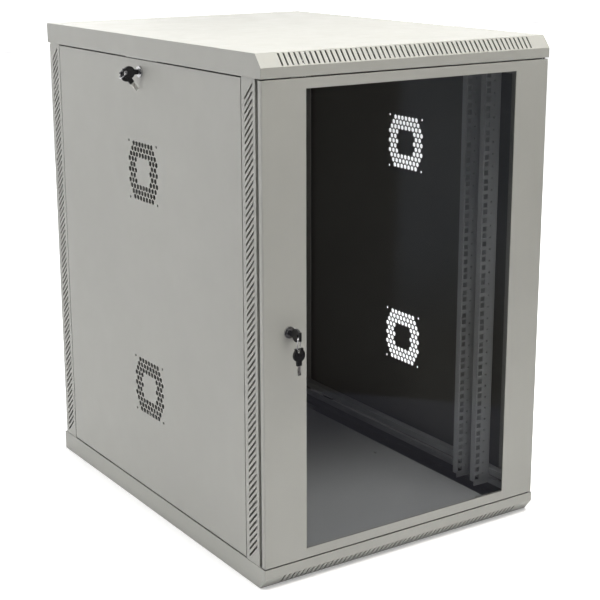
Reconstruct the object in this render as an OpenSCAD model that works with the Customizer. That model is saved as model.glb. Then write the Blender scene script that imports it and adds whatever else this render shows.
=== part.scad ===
// Free-standing 19 inch network cabinet: base and top trays, four vented corner
// pillars, adjustable rack rails, pull-off side and rear panels and a tinted
// glass door. Origin: centre of the footprint on the floor, front towards -Y.

/* [Cabinet] */
// Overall width across the base tray
body_w = 600; // [580:10:800]
// Overall depth from door face to back edge
body_d = 800; // [600:50:1000]
// Equipment height in rack units of 44.45 mm
rack_units = 18; // [9:1:22]
// Sheet thickness of trays, pillars and beams
sheet = 1.5; // [1.2:0.1:1.6]
// Height of the base tray and of the top tray
tray_h = 38.5; // [36:0.5:46]
// How far the sloped vent strip runs back from the front edge
slope_run = 17; // [14:1:20]
// Height of the sloped vent strip
slope_rise = 21.5; // [18:0.5:24]
// Vent slots in each sloped strip
strip_slots = 53; // [20:1:53]

/* [Pillars and panels] */
// Vent slots in the side face of each pillar
pillar_slots = 67; // [20:1:67]
// Width of a pillar's side face
pillar_face = 41; // [38:1:44]
// Distance from the door face back to the front pillars
front_setback = 19; // [18:0.5:22]
// Size of the fan the side grilles are made for
fan_size = 120; // [92:28:120]
// Height of the lower side grille's centre, as a share of the cabinet height
grille_low = 0.273; // [0.24:0.01:0.3]
// Height of the upper side grille's centre, as a share of the cabinet height
grille_high = 0.73; // [0.68:0.01:0.75]

/* [Rails] */
// Distance from the door face to the front rack rails
front_rail_at = 80; // [70:1:85]
// Distance from the door face to the rear rack rails
rear_rail_at = 131; // [131:1:400]
// Side of a square cage-nut hole
nut_hole = 9.5; // [9:0.1:9.5]

/* [Door] */
// Thickness of the door frame
door_deep = 10; // [9:0.5:10]
// Width of the lock-side stile
lock_stile = 83; // [75:1:90]
// Width of the hinge-side stile
hinge_stile = 74.5; // [60:0.5:90]
// Height of the door's top and bottom rails
door_rail = 17; // [16:1:30]
// Thickness of the door glass
glass_t = 4; // [3:0.5:5]

/* [Hidden] */
$fn = 48;
unit_h = 44.45;
body_h = rack_units * unit_h + 99.9;
half_w = body_w / 2;
front = -body_d / 2;
back = body_d / 2;
eps = 1;
skin_in = 1;                       // pillars and panels sit this far inside the trays
skin_x = half_w - skin_in;
panel_t = 1.2;
tray_lip = 25;
tray_front_lip = 40;
bolt_in = 11;                       // pillar bolts, in from the sides of the trays
bolt_at = 21;                       // and back from a pillar's front edge
bolt_hole_r = 3.1;
slope_len = norm([slope_run, slope_rise]);
slope_angle = atan2(slope_rise, slope_run);
gap = 2;

// Rack geometry of the 19 inch standard
hole_centre = 465.1 / 2;
rail_inner = 225;
rail_outer = 261.8;
rail_t = 2;
rail_web = 40;
rail_fold = 12;
first_unit = (body_h - rack_units * unit_h) / 2;
unit_holes = [6.35, 22.225, 38.1];
small_hole_x = 246.5;
small_hole_r = 2;

beam_in = 262;
beam_out = 278;
beam_h = 30.5;
beam_slot_h = 6.4;
pillar_step = 12;
pillar_lip = 18;
pillar_flange = 26;
rear_setback = 11;
slot_run = 24;
slot_climb = 25;
slot_w = 3.6;
slot_pitch = 11.8;
slot_margin = 15;                   // least height left above and below the slots
strip_slot_w = 3.2;
strip_slot_l = 23;

panel_from = front + front_setback + pillar_face + gap;
panel_to = back - rear_setback - pillar_face - gap;
panel_low = tray_h + 2.5;
panel_high = body_h - tray_h - 2.5;
panel_deep = 10;
panel_mid = (panel_from + panel_to) / 2;
lock_side_y = panel_mid;
lock_side_z = panel_high - 21;
hex_pitch = 11.4 * fan_size / 120;
hex_row = hex_pitch * sqrt(0.75);
hex_r = 5.2 * fan_size / 120;
fan_screws = 105 * fan_size / 120;
// Holes in each staggered row of a grille: [outer count, count left out in the middle]
grille_rows = [[7, 0], [8, 0], [9, 0], [10, 4], [9, 5], [10, 4], [9, 5], [10, 4], [9, 0], [8, 0], [7, 0]];

door_x = half_w - 0.5;
door_round = 3;
door_wall = 1.5;
door_lip = 12;
glass_x0 = -half_w + lock_stile + 1;
glass_x1 = half_w - hinge_stile - 1;
glass_z0 = panel_low + door_rail;
glass_z1 = panel_high - door_rail;
seal_t = 1;
seal_w = 10;
glass_over = 11;
hinge_x = half_w - 10;
hinge_y = front + 5.2;
pin_r = 2.8;
pin_fit = 0.05;
lock_x = -250;
lock_z = body_h / 2 - 1;

lock_r = 8;
plug_r = 6;
door_lock_deep = 22;
side_lock_deep = 15;
cam_t = 2;
eye_y = -29;                        // key's eye, measured out from the lock face
eye_r = 3.4;
bow_t = 4;                          // thickness of a moulded key head
ring_r = 12.5;
small_ring_r = 7;
wire_r = 0.7;
key_gap = 5.2;                      // from one key to the next on the small ring
spare_lean = 52;                    // how far the left spare key points down from level

cable_x = 150;
cable_y0 = back - 160;
cable_y1 = back - 60;
roof_cable_x = 95;
roof_cable_y0 = back - 115;
roof_cable_y1 = back - 48;
cover_gap = 0.5;
cover_rim = 12;
foot_x = half_w - 50;
foot_y = back - 70;
foot_hole_r = 5.25;
foot_pad = 60;
foot_pad_t = 4;
floor_x = 210;
floor_t = 1.5;
floor_lip = 12;
floor_y0 = front + 30;
floor_y1 = back - 20;
lip_y0 = floor_y0 + 14;
lip_y1 = floor_y1 - 10;
floor_slot = [4, 10];               // small cable-tie slot in the floor
floor_slot_at = [169, front + 320];

// ---- Helpers ----

module block(lo, hi) {
  translate(lo) cube(hi - lo);
}

// Copy on the left as drawn, or mirrored to the right
module on_side(right) {
  if (right) mirror([1, 0, 0]) children();
  else children();
}

// Round bar along Y, from y0 to y1
module bar_y(r, y0, y1) {
  translate([0, y0, 0]) rotate([-90, 0, 0]) cylinder(r = r, h = y1 - y0);
}

// Hexagon nut along Y
module nut_y(r, y0, y1) {
  translate([0, y0, 0]) rotate([-90, 0, 0]) cylinder(r = r, h = y1 - y0, $fn = 6);
}

// ---- Trays ----

// Side view of a tray, inset by t all round; y from the front edge, z up from the sheet
module tray_outline(t) {
  wall_z = slope_rise + t * (slope_len - slope_rise) / slope_run;
  foot_at = slope_run + t * (slope_len - slope_run) / slope_rise;
  polygon([[t, tray_h - t], [t, wall_z], [foot_at, t], [body_d - t, t], [body_d - t, tray_h - t]]);
}

// Width-long prism of a tray side view
module tray_prism(t) {
  translate([-half_w + t, front, 0]) rotate([90, 0, 90])
    linear_extrude(body_w - 2 * t) tray_outline(t);
}

module slope_slots() {
  pitch = (body_w - 83) / (strip_slots - 1);
  for (i = [0 : strip_slots - 1])
    translate([(i - (strip_slots - 1) / 2) * pitch, front + slope_run / 2, slope_rise / 2])
      rotate([-slope_angle, 0, 0]) cube([strip_slot_w, strip_slot_l, 12], center = true);
}

// Folded tray, closed side down, with an open mouth on top and a hinge bore
module tray() {
  difference() {
    tray_prism(0);
    tray_prism(sheet);
    block([-half_w + tray_lip, front + tray_front_lip, tray_h - 5],
          [half_w - tray_lip, back - tray_lip, tray_h + eps]);
    slope_slots();
    translate([hinge_x, hinge_y, tray_h - 5]) cylinder(r = pin_r + pin_fit, h = 10);
    for (sx = [-1, 1], y = pillar_bolt_ys())
      translate([sx * (half_w - bolt_in), y, tray_h - 5]) cylinder(r = bolt_hole_r, h = 10);
  }
}

// Depth positions of the bolts that hold the pillars to the trays
function pillar_bolt_ys() = [front + front_setback + bolt_at, back - rear_setback - bolt_at];

module base_tray() color("LightGray") {
  difference() {
    tray();
    block([-cable_x, cable_y0, -eps], [cable_x, cable_y1, 5]);
    for (sx = [-1, 1], sy = [-1, 1])
      translate([sx * foot_x, sy * foot_y, -eps]) cylinder(r = foot_hole_r, h = 5);
  }
}

// Thick pads over the foot holes inside the base
module foot_plates() color("Silver") {
  for (sx = [-1, 1], sy = [-1, 1])
    translate([sx * foot_x, sy * foot_y, sheet]) difference() {
      translate([-foot_pad / 2, -foot_pad / 2, 0]) cube([foot_pad, foot_pad, foot_pad_t]);
      translate([0, 0, -eps]) cylinder(r = foot_hole_r, h = foot_pad_t + 2 * eps);
    }
}

module floor_panel() color("Gainsboro") {
  difference() {
    union() {
      block([-floor_x, floor_y0, tray_h], [floor_x, floor_y1, tray_h + floor_t]);
      for (right = [false, true]) on_side(right)
        block([-floor_x, lip_y0, tray_h - floor_lip], [-floor_x + floor_t, lip_y1, tray_h + floor_t / 2]);
    }
    block([-cable_x, cable_y0, 0], [cable_x, cable_y1, tray_h + 5]);
    translate([floor_slot_at[0], floor_slot_at[1], 0]) cube([floor_slot[0], floor_slot[1], tray_h + 5]);
    for (p = floor_screw_spots()) translate([p[0], p[1], 0]) cylinder(r = 2.6, h = tray_h + 5);
  }
}

function floor_screw_spots() =
  [for (x = [-floor_x + 15, floor_x - 15], y = [floor_y0 + 5, floor_y1 - 2.5]) [x, y]];

module floor_screws() color("DimGray") {
  for (p = floor_screw_spots()) translate([p[0], p[1], 0]) {
    translate([0, 0, tray_h + floor_t]) cylinder(r = 4.2, h = 2);
    translate([0, 0, tray_h]) cylinder(r = 2.3, h = floor_t + 1);
  }
}

// Roof tray, upside down on the pillars, with the rear cable entry
module top_cover() color("WhiteSmoke") {
  difference() {
    translate([0, 0, body_h]) mirror([0, 0, 1]) tray();
    block([-roof_cable_x, roof_cable_y0, body_h - 5], [roof_cable_x, roof_cable_y1, body_h + eps]);
  }
}

// Angle brackets under the roof that the side panel cams turn up behind
module panel_catches() color("Silver") {
  top = body_h - tray_h;
  for (right = [false, true]) on_side(right) {
    block([-half_w + 3, lock_side_y - 60, top - sheet], [-half_w + 15, lock_side_y + 60, top]);
    block([-half_w + 13.5, lock_side_y - 60, top - 13], [-half_w + 15, lock_side_y + 60, top]);
  }
}

// Flush cable entry cover held from inside the roof, with a small lifting slot
module cable_cover() color("WhiteSmoke") {
  top = body_h - sheet;
  difference() {
    union() {
      block([-roof_cable_x + cover_gap, roof_cable_y0 + cover_gap, top - 1],
            [roof_cable_x - cover_gap, roof_cable_y1 - cover_gap, body_h]);
      block([-roof_cable_x - cover_rim, roof_cable_y0 - cover_rim, top - 1.5],
            [roof_cable_x + cover_rim, roof_cable_y1 + cover_rim, top - 0.2]);
    }
    block([65, roof_cable_y1 - 12, top - 5], [85, roof_cable_y1 - 9, body_h + eps]);
    for (p = cover_screw_spots()) translate([p[0], p[1], top - 5]) cylinder(r = 2.3, h = 5);
  }
}

function cover_screw_spots() =
  [for (x = [-1, 1] * (roof_cable_x + cover_rim / 2), y = [roof_cable_y0 + 8, roof_cable_y1 - 8]) [x, y]];

module cable_cover_screws() color("DimGray") {
  for (p = cover_screw_spots()) translate([p[0], p[1], body_h - sheet]) {
    translate([0, 0, -3.7]) cylinder(r = 4, h = 2.2);
    translate([0, 0, -2]) cylinder(r = 2, h = 1.9);
  }
}

// ---- Pillars and beams ----

// Front-left pillar as seen from above; x from the outer face inwards, y from its front
module pillar_section() {
  square([pillar_flange, sheet]);
  square([sheet, pillar_face]);
  translate([0, pillar_face - sheet]) square([pillar_step + sheet, sheet]);
  translate([pillar_step, pillar_face - sheet]) square([sheet, pillar_lip + sheet]);
}

module slant_slot() {
  half = slot_w / 2 * norm([slot_run, slot_climb]) / slot_run;
  rotate([90, 0, 90]) translate([0, 0, -eps]) linear_extrude(5)
    polygon([[slot_run / 2, -slot_climb / 2 - half], [slot_run / 2, -slot_climb / 2 + half],
             [-slot_run / 2, slot_climb / 2 + half], [-slot_run / 2, slot_climb / 2 - half]]);
}

// Pillar standing with its outer face on x = 0 and its front on y = 0, base at z = 0
module pillar_piece() {
  h = body_h - 2 * tray_h;
  difference() {
    union() {
      linear_extrude(h) pillar_section();
      for (z = [0, h - sheet])
        translate([sheet / 2, 3.5, z]) cube([18, pillar_face - 7, sheet]);
    }
    for (i = [0 : pillar_slots - 1])
      translate([0, pillar_face / 2 - 1, h / 2 + (i - (pillar_slots - 1) / 2) * slot_pitch * slot_fit()])
        slant_slot();
    translate([bolt_in - skin_in, bolt_at, -eps]) cylinder(r = bolt_hole_r, h = h + 2 * eps);
    for (z = beam_bolt_zs()) translate([14, -eps, z - tray_h]) bar_y(2.6, 0, 5);
    for (z = panel_screw_zs()) translate([18, -eps, z - tray_h]) bar_y(2.3, 0, 5);
  }
}

// Heights of the screws that hold the rear panel to the pillars
function panel_screw_zs() = [panel_low + 60, body_h / 2, panel_high - 60];

// Keeps the slot column inside the pillar when the cabinet is made lower
function slot_fit() = min(1, (body_h - 2 * tray_h - 2 * slot_margin) / (pillar_slots * slot_pitch));

// Heights of the bolts through the beam ends
function beam_bolt_zs() = [tray_h + 9, tray_h + 22, body_h - tray_h - 22, body_h - tray_h - 9];

module front_pillar(right) {
  on_side(right) translate([-skin_x, front + front_setback, tray_h]) pillar_piece();
}

module rear_pillar(right) {
  on_side(right) translate([-skin_x, back - rear_setback, body_h - tray_h])
    rotate([180, 0, 0]) pillar_piece();
}

module pillar_front_left() color("DarkGray") front_pillar(false);
module pillar_front_right() color("DarkGray") front_pillar(true);
module pillar_rear_left() color("DarkGray") rear_pillar(false);
module pillar_rear_right() color("DarkGray") rear_pillar(true);

// Front-to-back channel with bolted ends and a long slot for the rail bolts
module beam_piece() {
  y0 = front + front_setback + sheet;
  y1 = back - rear_setback - sheet;
  difference() {
    union() {
      block([-beam_in - sheet, y0, 0], [-beam_in, y1, beam_h]);
      for (z = [0, beam_h - sheet]) block([-beam_out, y0 + 10, z], [-beam_in, y1 - 10, z + sheet]);
      for (y = [y0, y1 - sheet]) block([-skin_x + 2, y, sheet], [-beam_in, y + sheet, beam_h]);
    }
    block([-beam_out, y0 + 12, (beam_h - beam_slot_h) / 2],
          [-beam_in + eps, y1 - 12, (beam_h + beam_slot_h) / 2]);
    for (y = [y0, y1 - sheet], z = [9, 22]) translate([-skin_x + 14, y - eps, z]) bar_y(2.6, 0, 5);
  }
}

module lower_beam(right) {
  on_side(right) translate([0, 0, tray_h]) beam_piece();
}

module upper_beam(right) {
  on_side(right) translate([0, 0, body_h - tray_h]) mirror([0, 0, 1]) beam_piece();
}

module beam_lower_left() color("SlateGray") lower_beam(false);
module beam_lower_right() color("SlateGray") lower_beam(true);
module beam_upper_left() color("SlateGray") upper_beam(false);
module beam_upper_right() color("SlateGray") upper_beam(true);

// Low-head bolt and nut, pointing up, gripping from z = 0 to z = grip
module bolt_up(r, grip) {
  translate([0, 0, -2.5]) cylinder(r = r * 1.8, h = 2.5);
  cylinder(r = r, h = grip + 3.5);
  translate([0, 0, grip]) cylinder(r = r * 1.7, h = 3, $fn = 6);
}

module frame_bolts() color("DimGray") {
  y_front = front + front_setback;
  y_rear = back - rear_setback;
  for (right = [false, true]) on_side(right) {
    for (y = pillar_bolt_ys()) {
      translate([-half_w + bolt_in, y, tray_h - sheet]) bolt_up(2.8, 2 * sheet);
      translate([-half_w + bolt_in, y, body_h - tray_h + sheet]) mirror([0, 0, 1])
        bolt_up(2.8, 2 * sheet);
    }
    for (z = beam_bolt_zs()) {
      translate([-skin_x + 14, y_front, z]) rotate([-90, 0, 0]) bolt_up(2.4, 2 * sheet);
      translate([-skin_x + 14, y_rear, z]) rotate([90, 0, 0]) bolt_up(2.4, 2 * sheet);
    }
  }
}

// ---- Rack rails ----

module rail_piece() {
  z0 = tray_h + 1.5;
  z1 = body_h - tray_h - 1.5;
  difference() {
    union() {
      block([-rail_outer, 0, z0], [-rail_inner, rail_t, z1]);
      block([-rail_outer, 0, z0], [-rail_outer + rail_t, rail_web, z1]);
      block([-rail_inner - rail_t, 0, z0 + 8], [-rail_inner, rail_fold, z1 - 8]);
    }
    for (u = [0 : rack_units - 1], h = unit_holes)
      translate([-hole_centre, 0, first_unit + u * unit_h + h])
        cube([nut_hole, 3 * rail_t, nut_hole], center = true);
    for (i = [0 : 2 * rack_units - 1])
      translate([-small_hole_x, -eps, first_unit + (i + 0.5) * unit_h / 2]) bar_y(small_hole_r, 0, 5);
    for (z = rail_bolt_zs(), y = rail_bolt_ys)
      translate([-rail_outer - eps, y, z]) rotate([0, 90, 0]) cylinder(r = 3.1, h = 5);
  }
}

rail_bolt_ys = [14, 30];
function rail_bolt_zs() = [tray_h + beam_h / 2, body_h - tray_h - beam_h / 2];

// Bolts through a rail's web and the beam slot, with the nuts inside the beam
module rail_bolt_set() {
  for (z = rail_bolt_zs(), y = rail_bolt_ys)
    translate([-rail_outer + rail_t, y, z]) rotate([0, -90, 0]) {
      translate([0, 0, -4]) cylinder(r = 5.2, h = 4);
      cylinder(r = 2.9, h = 9);
      translate([0, 0, rail_t + 2]) cylinder(r = 5.5, h = 4, $fn = 6);
    }
}

module rail_at(y, right) {
  on_side(right) translate([0, front + y, 0]) rail_piece();
}

module rail_bolts_at(y, right) {
  on_side(right) translate([0, front + y, 0]) rail_bolt_set();
}

module rail_front_left() color("Gray") rail_at(front_rail_at, false);
module rail_front_right() color("Gray") rail_at(front_rail_at, true);
module rail_rear_left() color("Gray") rail_at(rear_rail_at, false);
module rail_rear_right() color("Gray") rail_at(rear_rail_at, true);
module bolts_front_left() color("DimGray") rail_bolts_at(front_rail_at, false);
module bolts_front_right() color("DimGray") rail_bolts_at(front_rail_at, true);
module bolts_rear_left() color("DimGray") rail_bolts_at(rear_rail_at, false);
module bolts_rear_right() color("DimGray") rail_bolts_at(rear_rail_at, true);

// ---- Panels ----

module rear_panel() color("LightSlateGray") {
  y1 = back - 3;
  x = skin_x - 2;
  difference() {
    block([-x, y1 - 7.5, panel_low], [x, y1, panel_high]);
    block([-x + panel_t, y1 - 9, panel_low + panel_t], [x - panel_t, y1 - panel_t, panel_high - panel_t]);
    for (p = rear_screw_spots()) translate([p[0], y1 - 5, p[1]]) bar_y(2.3, 0, 6);
  }
}

function rear_screw_spots() = [for (sx = [-1, 1], z = panel_screw_zs()) [sx * (skin_x - 18), z]];

module rear_panel_screws() color("DimGray") {
  for (p = rear_screw_spots()) translate([p[0], 0, p[1]]) {
    bar_y(4, back - 3, back - 0.8);
    bar_y(2, back - 14, back - 2);
  }
}

// One fan grille in the YZ plane around the origin, as cutters along X
module grille_cutters() {
  for (row = [0 : len(grille_rows) - 1]) {
    n = grille_rows[row][0];
    skip = grille_rows[row][1];
    for (i = [0 : n - 1]) {
      from_mid = abs(i - (n - 1) / 2);
      if (from_mid > skip / 2 - 0.01 || skip == 0)
        translate([0, (i - (n - 1) / 2) * hex_pitch, (row - 5) * hex_row])
          rotate([0, 90, 0]) cylinder(r = hex_r, h = 4, center = true, $fn = 6);
    }
  }
  for (sy = [-1, 1], sz = [-1, 1])
    translate([0, sy * fan_screws / 2, sz * fan_screws / 2])
      rotate([0, 90, 0]) cylinder(r = 2.5, h = 4, center = true);
}

// Left side panel: shallow pan with two grilles, a lock hole and two locating tabs
module side_panel() {
  x = -skin_x;
  difference() {
    union() {
      difference() {
        block([x, panel_from, panel_low], [x + panel_deep, panel_to, panel_high]);
        block([x + panel_t, panel_from + panel_t, panel_low + panel_t],
              [x + panel_deep + eps, panel_to - panel_t, panel_high - panel_t]);
      }
      for (y = [panel_from + 90, panel_to - 90])
        block([x + panel_deep - 2, y - 15, tray_h + 0.3], [x + panel_deep + 8, y + 15, panel_low + panel_t]);
    }
    for (z = [grille_low, grille_high]) translate([x, panel_mid, z * body_h]) grille_cutters();
    translate([x - eps, lock_side_y, lock_side_z]) rotate([0, 90, 0]) cylinder(r = lock_r + pin_fit, h = 5);
  }
}

module left_panel() color("LightGray") side_panel();
module right_panel() color("LightGray") on_side(true) side_panel();

// ---- Locks and keys: drawn with the face on y = 0, outwards towards -Y ----

module lock_housing(deep) {
  difference() {
    union() {
      bar_y(10, -3, 0);
      bar_y(lock_r, -0.5, deep);
    }
    bar_y(plug_r + pin_fit, -4, deep + eps);
  }
}

module lock_nut() {
  difference() {
    nut_y(11.5, 1.8, 6.2);
    bar_y(lock_r + pin_fit, 0, 8);
  }
}

module lock_plug(deep) {
  difference() {
    bar_y(plug_r, -3.6, deep + cam_t + 0.6);
    block([-1.5, -4, -4], [1.5, 13, 4]);
  }
}

module lock_cam(deep, reach) {
  difference() {
    union() {
      bar_y(9, deep + 0.5, deep + 0.5 + cam_t);
      block([-7, deep + 0.5, -reach], [7, deep + 0.5 + cam_t, 0]);
    }
    bar_y(plug_r + pin_fit / 2, deep, deep + 5);
  }
}

module key_blade() {
  block([-0.9, -14, -3.2], [0.9, 12, 3.2]);
}

// Moulded bow standing upright, with its eye at the outer end
module key_bow() {
  difference() {
    union() {
      translate([0, -22, 0]) rotate([0, 90, 0]) cylinder(r = 11, h = bow_t, center = true);
      block([-bow_t / 2, -34, -7.5], [bow_t / 2, -22, 7.5]);
      block([-bow_t / 2, -14, -4.5], [bow_t / 2, -4.5, 4.5]);
    }
    translate([0, eye_y, 0]) rotate([0, 90, 0]) cylinder(r = eye_r, h = 8, center = true);
    key_blade();
  }
}

// Wire ring hanging from the key's eye, turned half way between the two bows
module key_ring() {
  translate([0, eye_y, -ring_r]) rotate([0, 0, 45]) rotate([90, 0, 0])
    rotate_extrude() translate([ring_r, 0]) circle(r = wire_r, $fn = 24);
}

// Small ring joining two keys side by side, sloping outwards and down from their eyes
module small_key_ring() {
  drop = sqrt(small_ring_r * small_ring_r - key_gap * key_gap / 4) * sqrt(0.5);
  translate([-key_gap / 2, eye_y - drop, -drop]) rotate([45, 0, 0])
    rotate_extrude() translate([small_ring_r, 0]) circle(r = wire_r, $fn = 24);
}

// Sets a second key beside the first, turned about their eyes with its tip towards the panel
module leaned() {
  translate([-key_gap, eye_y, 0]) rotate([-spare_lean, 0, 0]) translate([0, -eye_y, 0]) children();
}

// Hangs a key from the bottom of the ring, blade down and flat to the lock face
module hung() {
  translate([0, eye_y, -2 * ring_r + eye_y]) rotate([0, -90, 0]) rotate([0, 0, 90]) children();
}

// Places a lock set on the left panel, or mirrored on the right one
module at_side_lock(right) {
  on_side(right) translate([-skin_x, lock_side_y, lock_side_z]) rotate([0, 0, -90]) children();
}

module left_lock_housing() color("Silver") at_side_lock(false) lock_housing(side_lock_deep);
module left_lock_nut() color("Silver") at_side_lock(false) lock_nut();
module left_lock_plug() color("Silver") at_side_lock(false) lock_plug(side_lock_deep);
module left_lock_cam() color("Silver") at_side_lock(false) rotate([0, -90, 0]) lock_cam(side_lock_deep, 20);
module right_lock_housing() color("Silver") at_side_lock(true) lock_housing(side_lock_deep);
module right_lock_nut() color("Silver") at_side_lock(true) lock_nut();
module right_lock_plug() color("Silver") at_side_lock(true) lock_plug(side_lock_deep);
module right_lock_cam() color("Silver") at_side_lock(true) rotate([0, -90, 0]) lock_cam(side_lock_deep, 20);
module left_key_bow() color("Black") at_side_lock(false) key_bow();
module left_key_blade() color("Silver") at_side_lock(false) key_blade();
module left_key_ring() color("Silver") at_side_lock(false) small_key_ring();
module left_spare_bow() color("Black") at_side_lock(false) leaned() key_bow();
module left_spare_blade() color("Silver") at_side_lock(false) leaned() key_blade();

// ---- Door ----

// Door frame seen from above: flat back, rounded front corners
module door_section(t) {
  r = door_round - t;
  translate([-door_x + t, front + door_round]) square([2 * (door_x - t), door_deep - door_round]);
  translate([-door_x + door_round, front + t]) square([2 * (door_x - door_round), door_round]);
  for (sx = [-1, 1]) translate([sx * (door_x - door_round), front + door_round]) circle(r = r);
}

module door_frame() color("DarkGray") {
  difference() {
    translate([0, 0, panel_low]) linear_extrude(panel_high - panel_low) door_section(0);
    translate([0, 0, panel_low + door_wall]) linear_extrude(panel_high - panel_low - 2 * door_wall)
      intersection() {
        door_section(door_wall);
        translate([-door_x, front]) square([2 * door_x, door_deep - door_wall]);
      }
    block([-door_x + door_wall + door_lip, front + 5, panel_low + door_wall + door_lip],
          [door_x - door_wall - door_lip, front + door_deep + eps, panel_high - door_wall - door_lip]);
    block([glass_x0, front - eps, glass_z0], [glass_x1, front + 5, glass_z1]);
    translate([lock_x, front - eps, lock_z]) bar_y(lock_r + pin_fit, 0, 5);
    translate([hinge_x, hinge_y, panel_low - eps])
      cylinder(r = pin_r + pin_fit, h = panel_high - panel_low + 2 * eps);
  }
}

module door_seal() color("Black") {
  y0 = front + door_wall;
  difference() {
    block([glass_x0 - glass_over, y0, glass_z0 - glass_over],
          [glass_x1 + glass_over, y0 + seal_t, glass_z1 + glass_over]);
    block([glass_x0 - glass_over + seal_w, y0 - eps, glass_z0 - glass_over + seal_w],
          [glass_x1 + glass_over - seal_w, y0 + 5, glass_z1 + glass_over - seal_w]);
  }
}

module door_glass() color([0.1, 0.1, 0.12, 0.5]) {
  y0 = front + door_wall + seal_t;
  block([glass_x0 - glass_over, y0, glass_z0 - glass_over],
        [glass_x1 + glass_over, y0 + glass_t, glass_z1 + glass_over]);
}

// Blocks inside the door's hinge-side corners that hold the pins
module hinge_blocks() color("SlateGray") {
  for (z = [panel_low + door_wall, panel_high - door_wall - 20])
    difference() {
      block([hinge_x - 8, front + 2, z], [hinge_x + 5.5, front + door_deep - door_wall, z + 20]);
      translate([hinge_x, hinge_y, z - eps]) cylinder(r = pin_r + pin_fit, h = 20 + 2 * eps);
    }
}

// Spring pins of the hinge, each with a collar between door and tray
module hinge_pins() color("Silver") {
  translate([hinge_x, hinge_y, 0]) {
    translate([0, 0, tray_h - 5]) cylinder(r = pin_r, h = 26);
    translate([0, 0, tray_h + 0.2]) cylinder(r = 4.5, h = panel_low - tray_h - 0.3);
    translate([0, 0, body_h - tray_h - 21]) cylinder(r = pin_r, h = 26);
    translate([0, 0, panel_high + 0.1]) cylinder(r = 4.5, h = panel_low - tray_h - 0.3);
  }
}

module at_door_lock() {
  translate([lock_x, front, lock_z]) children();
}

module door_lock_housing() color("Silver") at_door_lock() lock_housing(door_lock_deep);
module door_lock_nut() color("Silver") at_door_lock() lock_nut();
module door_lock_plug() color("Silver") at_door_lock() lock_plug(door_lock_deep);
module door_lock_cam() color("Silver") at_door_lock() lock_cam(door_lock_deep, 38);
module door_key_bow() color("Black") at_door_lock() key_bow();
module door_key_blade() color("Silver") at_door_lock() key_blade();
module door_key_ring() color("Silver") at_door_lock() key_ring();
module door_spare_bow() color("Black") at_door_lock() hung() key_bow();
module door_spare_blade() color("Silver") at_door_lock() hung() key_blade();

base_tray();
foot_plates();
floor_panel();
floor_screws();
top_cover();
cable_cover();
cable_cover_screws();
panel_catches();
pillar_front_left();
pillar_front_right();
pillar_rear_left();
pillar_rear_right();
beam_lower_left();
beam_lower_right();
beam_upper_left();
beam_upper_right();
frame_bolts();
rail_front_left();
rail_front_right();
rail_rear_left();
rail_rear_right();
bolts_front_left();
bolts_front_right();
bolts_rear_left();
bolts_rear_right();
rear_panel();
rear_panel_screws();
left_panel();
right_panel();
left_lock_housing();
left_lock_nut();
left_lock_plug();
left_lock_cam();
left_key_bow();
left_key_blade();
left_key_ring();
left_spare_bow();
left_spare_blade();
right_lock_housing();
right_lock_nut();
right_lock_plug();
right_lock_cam();
door_frame();
door_seal();
door_glass();
hinge_blocks();
hinge_pins();
door_lock_housing();
door_lock_nut();
door_lock_plug();
door_lock_cam();
door_key_bow();
door_key_blade();
door_key_ring();
door_spare_bow();
door_spare_blade();
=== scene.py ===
import math

import bmesh
import bpy
from mathutils import Matrix, Vector

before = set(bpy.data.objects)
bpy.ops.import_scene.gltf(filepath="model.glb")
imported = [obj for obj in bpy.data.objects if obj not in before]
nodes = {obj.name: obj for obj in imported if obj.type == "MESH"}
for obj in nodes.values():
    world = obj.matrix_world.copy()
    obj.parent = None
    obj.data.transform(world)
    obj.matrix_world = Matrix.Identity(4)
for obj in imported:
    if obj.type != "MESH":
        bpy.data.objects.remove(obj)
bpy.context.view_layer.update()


# ---- Node graph helpers ----

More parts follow.
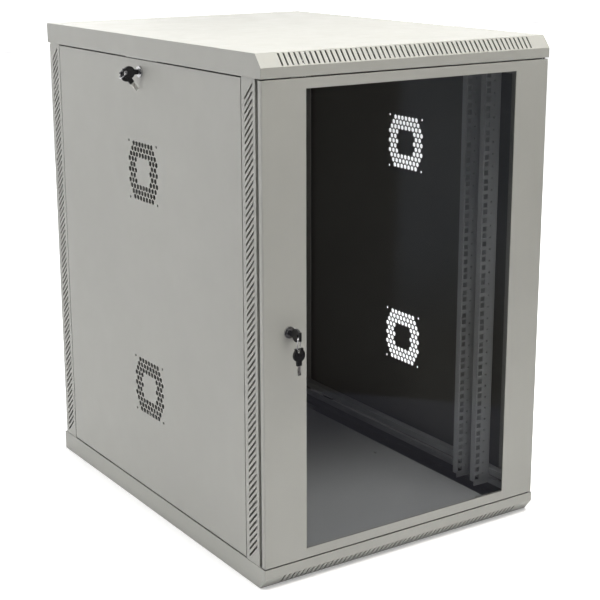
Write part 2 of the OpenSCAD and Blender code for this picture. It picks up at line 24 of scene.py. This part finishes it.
class Graph:
    """A material's node tree with short calls for the nodes used here."""

    def __init__(self, name):
        self.mat = bpy.data.materials.new(name)
        self.mat.use_nodes = True
        self.tree = self.mat.node_tree
        self.tree.nodes.clear()
        self.out = self.tree.nodes.new("ShaderNodeOutputMaterial")
        self.coords = self.tree.nodes.new("ShaderNodeTexCoord").outputs["Object"]

    def new(self, kind, **settings):
        node = self.tree.nodes.new(kind)
        for key, value in settings.items():
            setattr(node, key, value)
        return node

    def link(self, a, b):
        self.tree.links.new(a, b)

    def noise(self, scale, detail=3.0, rough=0.5, stretch=None):
        node = self.new("ShaderNodeTexNoise")
        node.inputs["Scale"].default_value = scale
        node.inputs["Detail"].default_value = detail
        node.inputs["Roughness"].default_value = rough
        source = self.coords
        if stretch:
            mapping = self.new("ShaderNodeMapping")
            mapping.inputs["Scale"].default_value = stretch
            self.link(source, mapping.inputs["Vector"])
            source = mapping.outputs["Vector"]
        self.link(source, node.inputs["Vector"])
        return node.outputs["Fac"]

    def math(self, operation, a, b=0.0, clamp=False):
        node = self.new("ShaderNodeMath", operation=operation, use_clamp=clamp)
        for socket, value in zip(node.inputs, (a, b)):
            if isinstance(value, (int, float)):
                socket.default_value = value
            else:
                self.link(value, socket)
        return node.outputs[0]

    def spread(self, value, low, high, to_low=0.0, to_high=1.0):
        node = self.new("ShaderNodeMapRange")
        node.inputs["From Min"].default_value = low
        node.inputs["From Max"].default_value = high
        node.inputs["To Min"].default_value = to_low
        node.inputs["To Max"].default_value = to_high
        self.link(value, node.inputs["Value"])
        return node.outputs["Result"]

    def blend(self, factor, a, b):
        node = self.new("ShaderNodeMix", data_type="RGBA")
        if isinstance(factor, (int, float)):
            node.inputs["Factor"].default_value = factor
        else:
            self.link(factor, node.inputs["Factor"])
        colours = [socket for socket in node.inputs if socket.type == "RGBA"]
        for socket, value in zip(colours, (a, b)):
            if isinstance(value, tuple):
                socket.default_value = (*value, 1.0)
            else:
                self.link(value, socket)
        return [socket for socket in node.outputs if socket.type == "RGBA"][0]

    def bump(self, height, strength, distance, normal=None):
        node = self.new("ShaderNodeBump")
        node.inputs["Strength"].default_value = strength
        node.inputs["Distance"].default_value = distance
        self.link(height, node.inputs["Height"])
        if normal:
            self.link(normal, node.inputs["Normal"])
        return node.outputs["Normal"]

    def edges(self, radius, low, high):
        """1 on edges, 0 on open faces, from how far a rounded normal leans from the flat one."""
        bevel = self.new("ShaderNodeBevel", samples=4)
        bevel.inputs["Radius"].default_value = radius
        geometry = self.new("ShaderNodeNewGeometry")
        dot = self.new("ShaderNodeVectorMath", operation="DOT_PRODUCT")
        self.link(bevel.outputs["Normal"], dot.inputs[0])
        self.link(geometry.outputs["Normal"], dot.inputs[1])
        return self.spread(dot.outputs["Value"], high, low), bevel.outputs["Normal"]

    def facing_up(self):
        geometry = self.new("ShaderNodeNewGeometry")
        split = self.new("ShaderNodeSeparateXYZ")
        self.link(geometry.outputs["Normal"], split.inputs[0])
        return self.spread(split.outputs["Z"], 0.5, 0.95)

    def painted_gap_shade(self, distance):
        """1 deep in gaps and corners, 0 on open faces: the mask for shade painted into gaps and
        corners.
        """
        near = self.new("ShaderNodeAmbientOcclusion", samples=4)
        near.inputs["Distance"].default_value = distance
        return self.spread(near.outputs["AO"], 0.38, 0.06)

    def facing_in(self):
        """1 on upright faces turned towards the cabinet's middle and on the base tray's floor: the
        mask for shade painted on the inside.
        """
        geometry = self.new("ShaderNodeNewGeometry")
        flat = self.new("ShaderNodeVectorMath", operation="MULTIPLY")
        flat.inputs[1].default_value = (1.0, 1.0, 0.0)
        self.link(self.coords, flat.inputs[0])
        dot = self.new("ShaderNodeVectorMath", operation="DOT_PRODUCT")
        self.link(flat.outputs["Vector"], dot.inputs[0])
        self.link(geometry.outputs["Normal"], dot.inputs[1])
        inward = self.spread(dot.outputs["Value"], -0.08, -0.22)
        split = self.new("ShaderNodeSeparateXYZ")
        self.link(self.coords, split.inputs[0])
        low = self.spread(split.outputs["Z"], 0.034, 0.030)
        return self.math("MAXIMUM", inward, self.math("MULTIPLY", low, self.facing_up()))

    def principled(self, colour, roughness, normal=None, metallic=0.0, **fixed):
        node = self.new("ShaderNodeBsdfPrincipled")
        for key, value in (("Base Color", colour), ("Roughness", roughness)):
            if isinstance(value, tuple):
                node.inputs[key].default_value = (*value, 1.0)
            elif isinstance(value, (int, float)):
                node.inputs[key].default_value = value
            else:
                self.link(value, node.inputs[key])
        node.inputs["Metallic"].default_value = metallic
        for key, value in fixed.items():
            node.inputs[key.replace("_", " ")].default_value = value
        if normal:
            self.link(normal, node.inputs["Normal"])
        return node

    def finish(self, shader):
        self.link(shader.outputs[0], self.out.inputs["Surface"])
        return self.mat


def darker(colour, by):
    return tuple(c * by for c in colour)


# ---- Materials ----

def powder_coat(name, colour, rough=0.46, wear=0.35, dust=0.10, painted_inside_shade=0.0):
    """Fine-texture powder coat: soft tone drift, orange peel, paler rubbed edges, a little dust,
    painted shade in gaps and corners, and optional painted shade on inward faces.
    """
    g = Graph(name)
    drift = g.spread(g.noise(2.3, 4.0, 0.55), 0.3, 0.7)
    cloud = g.spread(g.noise(17.0, 5.0, 0.6), 0.35, 0.68)
    speck = g.spread(g.noise(900.0, 2.0, 0.5), 0.56, 0.72)
    tone = g.blend(drift, darker(colour, 0.955), darker(colour, 1.035))
    tone = g.blend(g.math("MULTIPLY", cloud, 0.35), tone, darker(colour, 0.95))
    tone = g.blend(g.math("MULTIPLY", speck, 0.10), tone, darker(colour, 0.72))
    # Painted shade: inward faces and the base tray's floor darken towards a fifth of the paint
    # colour, standing in for the shade inside the cabinet.
    if painted_inside_shade:
        tone = g.blend(g.math("MULTIPLY", g.facing_in(), painted_inside_shade), tone, darker(colour, 0.2))
    edge, rounded = g.edges(0.0011, 0.80, 0.985)
    patch = g.spread(g.noise(60.0, 4.0, 0.6), 0.40, 0.62)
    worn = g.math("MULTIPLY", edge, g.math("MULTIPLY", patch, wear))
    tone = g.blend(worn, tone, tuple(min(1.0, c * 1.28) for c in colour))
    grime = g.spread(g.noise(38.0, 6.0, 0.65), 0.50, 0.76)
    dusty = g.math("MULTIPLY", g.facing_up(), g.math("MULTIPLY", grime, dust))
    tone = g.blend(dusty, tone, (0.50, 0.48, 0.43))
    # Painted shade: the colour darkens deep in gaps and corners, where shade falls.
    tone = g.blend(g.math("MULTIPLY", g.painted_gap_shade(0.035), 0.9), tone, darker(colour, 0.12))
    gloss = g.spread(g.noise(26.0, 5.0, 0.6), 0.3, 0.7, rough - 0.05, rough + 0.07)
    gloss = g.math("ADD", gloss, g.math("MULTIPLY", dusty, 0.8), clamp=True)
    peel = g.bump(g.noise(1500.0, 2.0, 0.55), 0.22, 0.00012, rounded)
    peel = g.bump(g.noise(5.5, 2.0, 0.4), 0.10, 0.0035, peel)
    return g.finish(g.principled(tone, gloss, peel, Specular_IOR_Level=0.42))


def zinc_plate(name):
    g = Graph(name)
    colour = (0.60, 0.60, 0.58)
    drift = g.spread(g.noise(120.0, 5.0, 0.6), 0.3, 0.7)
    tone = g.blend(drift, darker(colour, 0.80), darker(colour, 1.08))
    tint = g.spread(g.noise(60.0, 3.0, 0.5), 0.52, 0.7)
    tone = g.blend(g.math("MULTIPLY", tint, 0.25), tone, (0.60, 0.56, 0.44))
    edge, rounded = g.edges(0.0004, 0.80, 0.98)
    tone = g.blend(g.math("MULTIPLY", edge, 0.5), tone, (0.78, 0.78, 0.76))
    # Painted shade: darker deep in gaps and corners.
    tone = g.blend(g.math("MULTIPLY", g.painted_gap_shade(0.03), 0.9), tone, darker(colour, 0.08))
    gloss = g.spread(g.noise(240.0, 4.0, 0.6), 0.3, 0.7, 0.26, 0.46)
    grain = g.bump(g.noise(1400.0, 2.0, 0.5), 0.2, 0.00006, rounded)
    return g.finish(g.principled(tone, gloss, grain, metallic=1.0))


def chrome_plate(name):
    g = Graph(name)
    haze = g.spread(g.noise(300.0, 5.0, 0.6), 0.35, 0.7)
    tone = g.blend(haze, (0.52, 0.52, 0.53), (0.40, 0.40, 0.41))
    edge, rounded = g.edges(0.0003, 0.85, 0.985)
    tone = g.blend(g.math("MULTIPLY", edge, 0.5), tone, (0.74, 0.74, 0.73))
    # Painted shade: darker deep in tight gaps.
    tone = g.blend(g.math("MULTIPLY", g.painted_gap_shade(0.012), 0.8), tone, (0.06, 0.06, 0.06))
    gloss = g.spread(g.noise(180.0, 5.0, 0.65), 0.3, 0.7, 0.16, 0.30)
    fine = g.bump(g.noise(2200.0, 2.0, 0.5), 0.08, 0.00003, rounded)
    return g.finish(g.principled(tone, gloss, fine, metallic=1.0))


def key_steel(name):
    """Nickelled blade, scratched along its length."""
    g = Graph(name)
    scratch = g.noise(500.0, 4.0, 0.6, (1.0, 1.0, 0.08))
    tone = g.blend(g.spread(scratch, 0.35, 0.65), (0.56, 0.55, 0.52), (0.74, 0.73, 0.70))
    edge, rounded = g.edges(0.0002, 0.85, 0.985)
    tone = g.blend(g.math("MULTIPLY", edge, 0.6), tone, (0.82, 0.81, 0.79))
    gloss = g.spread(scratch, 0.3, 0.7, 0.20, 0.40)
    return g.finish(g.principled(tone, gloss, g.bump(scratch, 0.25, 0.00004, rounded), metallic=1.0))


def moulded_black(name):
    g = Graph(name)
    drift = g.spread(g.noise(140.0, 4.0, 0.6), 0.3, 0.7)
    tone = g.blend(drift, (0.004, 0.004, 0.005), (0.010, 0.010, 0.012))
    edge, rounded = g.edges(0.0007, 0.80, 0.985)
    rub = g.spread(g.noise(420.0, 3.0, 0.6), 0.45, 0.6)
    tone = g.blend(g.math("MULTIPLY", edge, g.math("MULTIPLY", rub, 0.5)), tone, (0.06, 0.06, 0.06))
    gloss = g.spread(g.noise(500.0, 4.0, 0.6), 0.3, 0.7, 0.22, 0.40)
    skin = g.bump(g.noise(2600.0, 2.0, 0.5), 0.25, 0.00005, rounded)
    return g.finish(g.principled(tone, gloss, skin))


def foam_tape(name):
    g = Graph(name)
    cells = g.noise(2600.0, 3.0, 0.6)
    tone = g.blend(g.spread(cells, 0.35, 0.65), (0.010, 0.010, 0.010), (0.035, 0.035, 0.034))
    gloss = g.spread(g.noise(90.0, 3.0, 0.5), 0.3, 0.7, 0.72, 0.90)
    return g.finish(g.principled(tone, gloss, g.bump(cells, 0.5, 0.0002)))


HEAD_ON_GLOSS = 0.035


def tinted_glass(name, tint):
    """Thin body-tinted pane: passes dimmed light straight through and mirrors the room faintly."""
    g = Graph(name)
    smear = g.spread(g.noise(7.0, 6.0, 0.62), 0.42, 0.72)
    colour = g.blend(g.math("MULTIPLY", smear, 0.25), tint, darker(tint, 0.92))
    clear = g.new("ShaderNodeBsdfTransparent")
    g.link(colour, clear.inputs["Color"])
    mirror = g.new("ShaderNodeBsdfGlossy")
    mirror.inputs["Color"].default_value = (1.0, 1.0, 1.0, 1.0)
    g.link(g.math("MULTIPLY", smear, 0.03), mirror.inputs["Roughness"])
    facing = g.new("ShaderNodeLayerWeight")
    facing.inputs["Blend"].default_value = 0.5
    grazing = g.math("POWER", facing.outputs["Facing"], 5.0)
    amount = g.math("ADD", g.math("MULTIPLY", grazing, 0.9), HEAD_ON_GLOSS, clamp=True)
    mix = g.new("ShaderNodeMixShader")
    g.link(amount, mix.inputs[0])
    g.link(clear.outputs[0], mix.inputs[1])
    g.link(mirror.outputs[0], mix.inputs[2])
    return g.finish(mix)


PAINT = (0.56, 0.555, 0.515)
outer = powder_coat("grey_powder_coat", PAINT)
# Same paint, with shade painted on its inward faces.
inside_shaded_coat = powder_coat("grey_coat_painted_inside_shade", PAINT, painted_inside_shade=0.75)
floor_coat = powder_coat("floor_plate_coat", (0.66, 0.67, 0.68), dust=0.0)
inner = powder_coat("inner_powder_coat", (0.56, 0.57, 0.57), rough=0.44, wear=0.5, dust=0.06)
zinc = zinc_plate("zinc_plating")
chrome = chrome_plate("bright_chrome")
steel = key_steel("nickelled_key_steel")
plastic = moulded_black("black_moulded_plastic")
foam = foam_tape("black_foam_tape")
glass = tinted_glass("grey_tinted_glass", (0.870, 0.874, 0.880))


def material_for(name):
    if name.startswith(("rail_", "beam_")):
        return inner
    if name.endswith("_blade"):
        return steel
    if name.endswith("_bow"):
        return plastic
    if name == "door_glass":
        return glass
    if name == "door_seal":
        return foam
    zinc_parts = ("foot_plates", "panel_catches", "hinge_blocks", "floor_screws")
    if name in zinc_parts or "bolts" in name or "screws" in name or name.endswith(("_nut", "_cam")):
        return zinc
    if name.endswith(("_housing", "_plug", "_ring")) or name == "hinge_pins":
        return chrome
    if name == "floor_panel":
        return floor_coat
    if name in ("left_panel", "right_panel", "rear_panel", "base_tray"):
        return inside_shaded_coat
    return outer


for name, node in nodes.items():
    node.data.materials.clear()
    node.data.materials.append(material_for(name))


# ---- Stage: pale floor, bright backdrop, and the room that the glass mirrors ----

def plane(name, corners, material):
    mesh = bpy.data.meshes.new(name)
    mesh.from_pydata(corners, [], [tuple(range(len(corners)))])
    mesh.materials.append(material)
    obj = bpy.data.objects.new(name, mesh)
    bpy.context.scene.collection.objects.link(obj)
    return obj


def glowing(name, colour, strength, diffuse):
    g = Graph(name)
    wash = g.blend(g.spread(g.noise(0.8, 3.0), 0.3, 0.7), darker(colour, 0.985), colour)
    shader = g.principled((diffuse, diffuse, diffuse), 0.9)
    g.link(wash, shader.inputs["Emission Color"])
    shader.inputs["Emission Strength"].default_value = strength
    return g.finish(shader)


def glowing_floor(name):
    """White paper glowing as bright as a lit studio floor, with a painted contact shadow: the glow
    is turned down where the cabinet stands on it.
    """
    g = Graph(name)
    shader = g.principled((0.8, 0.8, 0.8), 0.9)
    shader.inputs["Emission Color"].default_value = (1.0, 1.0, 1.0, 1.0)
    # Painted contact shadow: the glow is turned down near the cabinet.
    near = g.new("ShaderNodeAmbientOcclusion", samples=8)
    near.inputs["Distance"].default_value = 0.16
    g.link(g.spread(near.outputs["AO"], 0.35, 0.95, 0.30, PAPER), shader.inputs["Emission Strength"])
    return g.finish(shader)


def mirrored_floor(name):
    """What the door glass mirrors, painted as glow on a plane: a lit sheet laid askew, dark floor, a
    pale card on the right.
    """
    g = Graph(name)
    split = g.new("ShaderNodeSeparateXYZ")
    g.link(g.coords, split.inputs[0])
    x, y = split.outputs["X"], split.outputs["Y"]
    sheet = g.spread(g.math("SUBTRACT", y, g.math("MULTIPLY", x, 1.15)), -1.60, -1.58)
    card_edge = g.spread(g.math("ADD", x, g.math("MULTIPLY", y, 0.776)), -0.37, -0.31)
    card = g.math("MULTIPLY", card_edge, g.spread(y, -1.33, -2.18))
    glow = g.blend(card, (0.030, 0.020, 0.012), (0.13, 0.14, 0.17))
    glow = g.blend(sheet, glow, (0.14, 0.14, 0.18))
    shader = g.principled((0.0, 0.0, 0.0), 0.9)
    g.link(glow, shader.inputs["Emission Color"])
    shader.inputs["Emission Strength"].default_value = 1.0
    return g.finish(shader)


WHITE = (1.0, 1.0, 1.0)
PAPER = 1.0
REACH = 9.0
BOUNCE_DROP = 0.001
ROOM = {"left": -6, "right": 7, "front": -7, "back": -0.42, "rise": 0.004, "top": 6}

corners = [(-REACH, -REACH, 0), (REACH, -REACH, 0), (REACH, REACH, 0), (-REACH, REACH, 0)]
floor = plane("floor", corners, glowing_floor("floor_paper"))
floor.visible_diffuse = False

lowered = [(x, y, -BOUNCE_DROP) for x, y, z in corners]
bounce = plane("floor_bounce", lowered, glowing("bounce_paper", WHITE, 0.0, 0.92))
bounce.visible_camera = False
bounce.visible_glossy = False

backdrop = glowing("backdrop_paper", WHITE, 1.6, 0.8)
for i in range(4):
    (x0, y0, z), (x1, y1, z) = corners[i], corners[(i + 1) % 4]
    upright = [(x0, y0, 0), (x1, y1, 0), (x1, y1, REACH), (x0, y0, REACH)]
    plane(f"backdrop_{i}", upright, backdrop).visible_diffuse = False

# Seen only in reflections: glowing planes with painted light that stand in for a lit room, so that
# the glass and paint mirror a room and not bare white
near_left, near_right = (ROOM["left"], ROOM["back"]), (ROOM["right"], ROOM["back"])
far_left, far_right = (ROOM["left"], ROOM["front"]), (ROOM["right"], ROOM["front"])
ground = [(*spot, ROOM["rise"]) for spot in (far_left, far_right, near_right, near_left)]
far_wall = [(*far_left, 0), (*far_right, 0), (*far_right, ROOM["top"]), (*far_left, ROOM["top"])]
mirrored = plane("mirrored_floor", ground, mirrored_floor("mirrored_room"))
mirrored_wall = plane("mirrored_wall", far_wall, glowing("dark_room", (1.0, 0.8, 0.6), 0.03, 0.0))
for obj in (mirrored, mirrored_wall):
    obj.visible_camera = False
    obj.visible_diffuse = False
    obj.visible_transmission = False
    obj.visible_shadow = False


# ---- Lights ----

def softbox(name, place, aim, width, height, power, colour):
    light = bpy.data.lights.new(name, "AREA")
    light.shape = "RECTANGLE"
    light.size = width
    light.size_y = height
    light.energy = power
    light.color = colour
    obj = bpy.data.objects.new(name, light)
    obj.location = place
    obj.rotation_euler = (Vector(aim) - Vector(place)).to_track_quat("-Z", "Y").to_euler()
    bpy.context.scene.collection.objects.link(obj)
    return obj


AMBIENT = 0.03
COOL = (0.97, 0.985, 1.0)
WARM = (1.0, 0.975, 0.90)

# name, place, aim, width, height, watts, colour
SOFTBOXES = (
    ("top_softbox", (0.0, -0.3, 3.2), (0, 0, 0.9), 3.0, 2.4, 55.0, COOL),
    ("left_softbox", (-3.3, 1.2, 0.6), (-0.3, 0.1, 0.2), 2.2, 1.1, 27.0, WHITE),
    ("front_softbox", (0.15, -1.45, 3.4), (0, -0.4, 0.6), 2.2, 1.0, 63.0, WARM),
    ("low_card", (0.0, -0.95, 0.05), (0, -0.4, 0.06), 1.3, 0.08, 1.0, WHITE),
    ("right_softbox", (3.4, 0.4, 0.9), (0.3, 0, 0.4), 2.4, 1.4, 25.0, WHITE),
    ("rear_softbox", (0.4, 3.8, 0.9), (0, 0.4, 0.4), 2.4, 1.4, 30.0, WHITE),
)
lights = {row[0]: softbox(*row) for row in SOFTBOXES}
lights["low_card"].visible_camera = False
lights["low_card"].visible_glossy = False

world = bpy.data.worlds.new("studio")
world.use_nodes = True
ambient = world.node_tree.nodes["Background"]
ambient.inputs["Color"].default_value = (*WHITE, 1.0)
ambient.inputs["Strength"].default_value = AMBIENT
bpy.context.scene.world = world
bpy.context.scene.view_settings.view_transform = "Standard"

# ---- Camera ----

camera = bpy.data.cameras.new("camera")
camera.lens = 84.005
camera.sensor_width = 36.0
camera.shift_x = 0.0067
camera.shift_y = -0.05
camera.clip_end = 60.0
right = Vector((0.83394, -0.55185, -0.00306))
up = Vector((0.13803, 0.20321, 0.96936))
ahead = Vector((0.53432, 0.80881, -0.24564))
turn = Matrix((right, up, -ahead)).transposed().to_4x4()
viewer = bpy.data.objects.new("camera", camera)
viewer.matrix_world = Matrix.Translation((-1.4422, -2.2256, 1.1057)) @ turn
bpy.context.scene.collection.objects.link(viewer)
bpy.context.scene.camera = viewer

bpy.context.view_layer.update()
